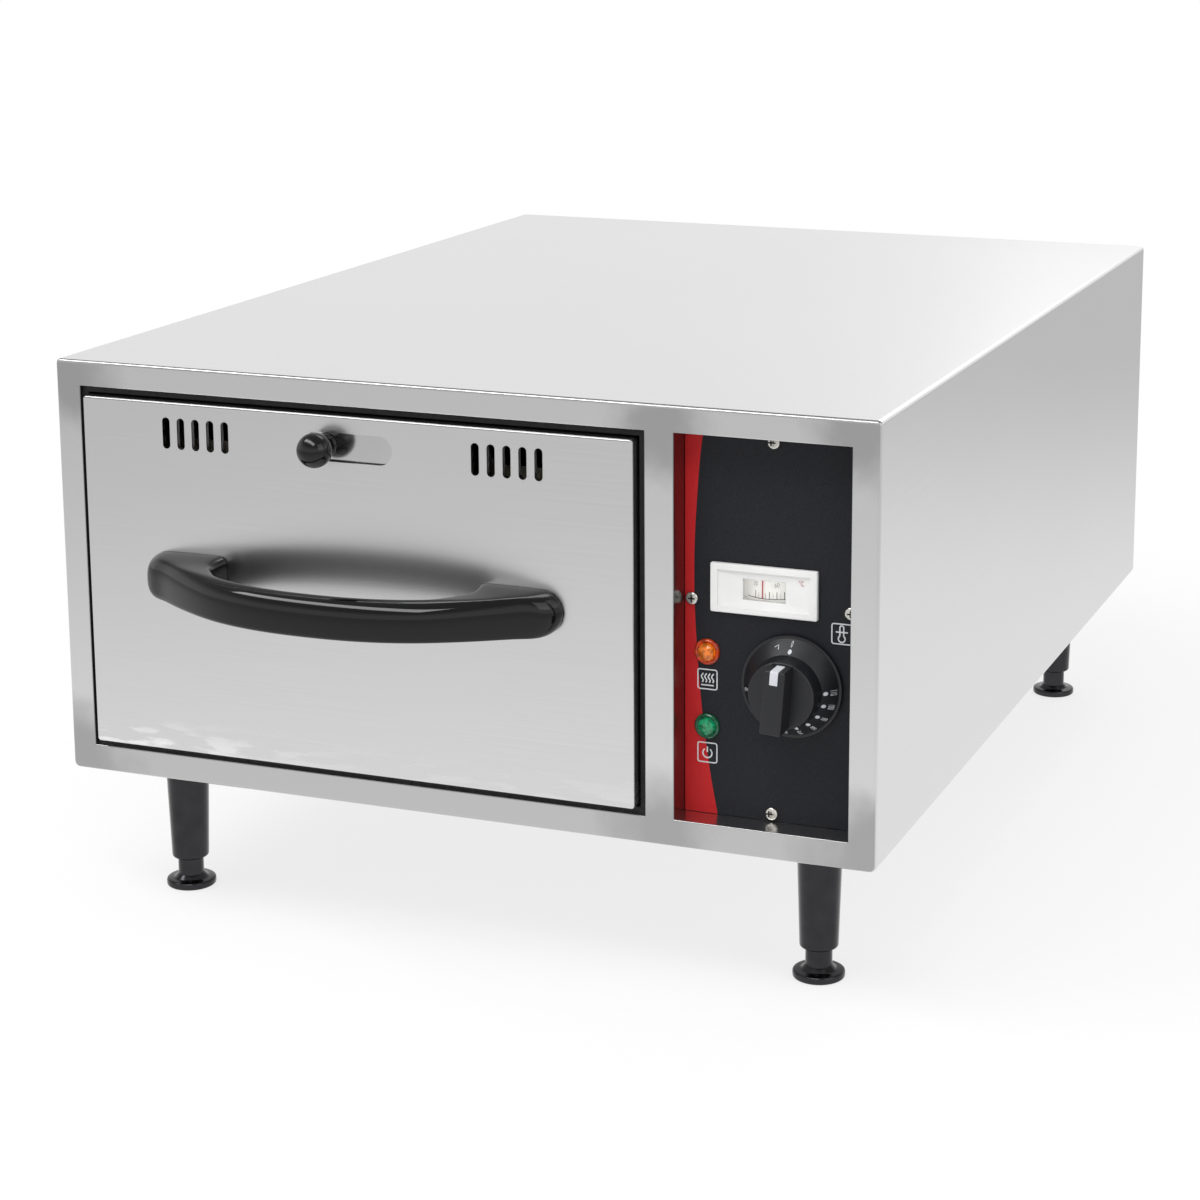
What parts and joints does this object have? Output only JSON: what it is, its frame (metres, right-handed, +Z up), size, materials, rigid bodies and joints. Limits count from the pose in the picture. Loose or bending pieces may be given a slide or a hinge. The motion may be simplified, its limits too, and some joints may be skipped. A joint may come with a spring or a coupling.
{
  "type": "countertop warming drawer",
  "caption": "Free-standing stainless warming drawer with one food pan drawer on telescopic runners, bow handle, sliding vent damper, recessed thermostat panel and levelling feet.",
  "frame": {"origin": "centre of the bounding box's underside, on the worktop under the middle of the machine", "axes": "+Z up, the drawer opens towards -Y, +X to the right as seen by someone facing the drawer"},
  "size_m": [0.6, 0.899, 0.4],
  "materials": {
    "stainless_case": "brushed",
    "stainless_drawer": "brushed",
    "stainless_inner": "satin",
    "runner_steel": "zinc plated",
    "screw_steel": "satin",
    "black_plastic": "satin",
    "damper_steel": "polished",
    "wool": "matt",
    "element_sheath": "heat stained",
    "bush_ceramic": "unglazed",
    "silicone": "matt",
    "panel_steel": "matt",
    "panel_print": "satin",
    "white_plastic": "gloss",
    "needle_red": "satin",
    "clear_pane": "clear",
    "amber_lens": "translucent",
    "green_lens": "translucent",
    "thermostat_metal": "plain",
    "copper_line": "drawn",
    "leg_chrome": "polished"
  },
  "bodies": {
    "case": {"front_frame": "stainless_case", "case_wrap": "stainless_case", "bottom_plate": "stainless_inner", "rear_panel": "stainless_case", "rear_screws": "screw_steel", "cable_gland": "black_plastic", "gland_nut": "black_plastic", "divider_wall": "stainless_inner", "bay_liner": "stainless_inner", "insulation": "wool", "heating_element": "element_sheath", "element_supports": "runner_steel", "element_bushes": "bush_ceramic", "outer_runner_left": "runner_steel", "outer_runner_right": "runner_steel", "bay_seal": "silicone", "control_panel": "panel_steel", "panel_overlay": "panel_print", "panel_screws": "screw_steel", "thermometer_housing": "white_plastic", "thermometer_pane": "clear_pane", "thermometer_dial": "white_plastic", "amber_lamp": "amber_lens", "green_lamp": "green_lens", "lamp_bodies": "black_plastic", "thermostat_body": "thermostat_metal", "thermostat_feeler": "copper_line", "thermometer_feeler": "copper_line", "feeler_clips": "runner_steel", "terminal_block": "bush_ceramic", "leg_fl": "leg_chrome", "leg_fr": "leg_chrome", "leg_rl": "leg_chrome", "leg_rr": "leg_chrome", "leg_nuts": "screw_steel"},
    "outer_cages": {"outer_ball_cages": "runner_steel"},
    "middle_runners": {"middle_runner_pair": "runner_steel"},
    "inner_cages": {"inner_ball_cages": "runner_steel"},
    "drawer": {"drawer_front": "stainless_drawer", "drawer_back_skin": "stainless_inner", "drawer_insulation": "wool", "handle": "black_plastic", "handle_screws": "screw_steel", "pan_carrier": "stainless_inner", "inner_runner_left": "runner_steel", "inner_runner_right": "runner_steel", "damper_guides": "runner_steel"},
    "pan": {"food_pan": "stainless_inner"},
    "damper": {"damper_plate": "damper_steel", "damper_knob": "black_plastic", "damper_stud": "screw_steel"},
    "knob": {"thermostat_knob": "black_plastic", "knob_skirt": "black_plastic", "knob_pointer": "white_plastic", "thermostat_shaft": "screw_steel"},
    "needle": {"thermometer_needle": "needle_red"},
    "foot_front_left": {"foot_fl": "leg_chrome"},
    "foot_front_right": {"foot_fr": "leg_chrome"},
    "foot_rear_left": {"foot_rl": "leg_chrome"},
    "foot_rear_right": {"foot_rr": "leg_chrome"}
  },
  "joints": [
    {"name": "drawer_slide", "type": "slide", "parent": "case", "child": "drawer", "axis": [0, -1, 0], "range_m": [0, 0.6]},
    {"name": "middle_slide", "type": "slide", "parent": "case", "child": "middle_runners", "axis": [0, -1, 0], "range_m": [0, 0.3]},
    {"name": "outer_cage_slide", "type": "slide", "parent": "case", "child": "outer_cages", "axis": [0, -1, 0], "range_m": [0, 0.15]},
    {"name": "inner_cage_slide", "type": "slide", "parent": "case", "child": "inner_cages", "axis": [0, -1, 0], "range_m": [0, 0.45]},
    {"name": "pan_lift", "type": "slide", "parent": "drawer", "child": "pan", "axis": [0, 0, 1], "range_m": [0, 0.05]},
    {"name": "damper_slide", "type": "slide", "parent": "drawer", "child": "damper", "axis": [1, 0, 0], "range_m": [0, 0.0399]},
    {"name": "thermostat_turn", "type": "hinge", "parent": "case", "child": "knob", "pos_m": [0.2362, -0.3725, 0.2157], "axis": [0, 1, 0], "range_deg": [0, 265]},
    {"name": "needle_turn", "type": "hinge", "parent": "case", "child": "needle", "pos_m": [0.2165, -0.3266, 0.2775], "axis": [0, 0, 1], "range_deg": [-26, 42]},
    {"name": "foot_front_left_screw", "type": "slide", "parent": "case", "child": "foot_front_left", "axis": [0, 0, -1], "range_m": [-0.012, 0.015]},
    {"name": "foot_front_right_screw", "type": "slide", "parent": "case", "child": "foot_front_right", "axis": [0, 0, -1], "range_m": [-0.012, 0.015]},
    {"name": "foot_rear_left_screw", "type": "slide", "parent": "case", "child": "foot_rear_left", "axis": [0, 0, -1], "range_m": [-0.012, 0.015]},
    {"name": "foot_rear_right_screw", "type": "slide", "parent": "case", "child": "foot_rear_right", "axis": [0, 0, -1], "range_m": [-0.012, 0.015]}
  ],
  "couplings": [
    {"joint": "middle_slide", "follows": "drawer_slide", "ratio": 0.5},
    {"joint": "outer_cage_slide", "follows": "drawer_slide", "ratio": 0.25},
    {"joint": "inner_cage_slide", "follows": "drawer_slide", "ratio": 0.75}
  ]
}
